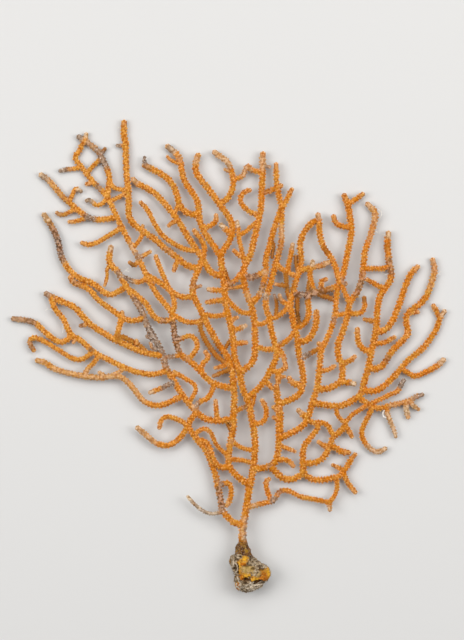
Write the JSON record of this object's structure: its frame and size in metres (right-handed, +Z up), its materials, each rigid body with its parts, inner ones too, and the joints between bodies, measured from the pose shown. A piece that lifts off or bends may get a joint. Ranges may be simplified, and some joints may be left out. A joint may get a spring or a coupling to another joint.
{
  "type": "sea fan",
  "caption": "Flat orange sea fan of forking, cross-linked twigs on a small lump of stone, lying on its back.",
  "frame": {"origin": "on the ground under the middle of the whole fan's box", "axes": "+Y from the stone towards the branch tips, +X to the right in the picture, +Z up through the flat fan"},
  "size_m": [0.1958, 0.2118, 0.013],
  "materials": {
    "stone": "rough, pitted and granular",
    "holdfast": "dull brown crust",
    "fan_tissue": "matt orange rind, warty all over"
  },
  "bodies": {
    "root": {"base_stone": "stone", "holdfast": "holdfast", "stem": "fan_tissue", "left_limb": "fan_tissue", "left_arm": "fan_tissue", "upper_left_limb": "fan_tissue", "lower_left_limb": "fan_tissue", "left_hooks": "fan_tissue", "far_left_upper": "fan_tissue", "far_left_middle": "fan_tissue", "left_branch_one": "fan_tissue", "left_branch_two": "fan_tissue", "left_branch_three": "fan_tissue", "left_branch_four": "fan_tissue", "top_left_low": "fan_tissue", "top_left_high": "fan_tissue", "centre_limb": "fan_tissue", "high_left_limb": "fan_tissue", "middle_left_limb": "fan_tissue", "left_cross_branch": "fan_tissue", "tall_left_limb": "fan_tissue", "slanting_left_branch": "fan_tissue", "high_centre_left": "fan_tissue", "high_left_branch": "fan_tissue", "high_centre_right": "fan_tissue", "top_centre_branch": "fan_tissue", "centre_right_limb": "fan_tissue", "upper_centre_right": "fan_tissue", "right_centre_limb": "fan_tissue", "parallel_limb": "fan_tissue", "right_limb": "fan_tissue", "lower_right_loop": "fan_tissue", "lower_right_ring": "fan_tissue", "right_trunk_branch": "fan_tissue", "pink_branch": "fan_tissue", "slender_left_fork": "fan_tissue", "right_middle_limb": "fan_tissue", "right_inner_limb": "fan_tissue", "right_outer_limb": "fan_tissue", "far_right_upper": "fan_tissue", "far_right_middle": "fan_tissue", "far_right_lower": "fan_tissue", "low_right_branch": "fan_tissue", "low_right_hook": "fan_tissue", "right_mesh_links": "fan_tissue", "bottom_branch": "fan_tissue"}
  },
  "joints": []
}
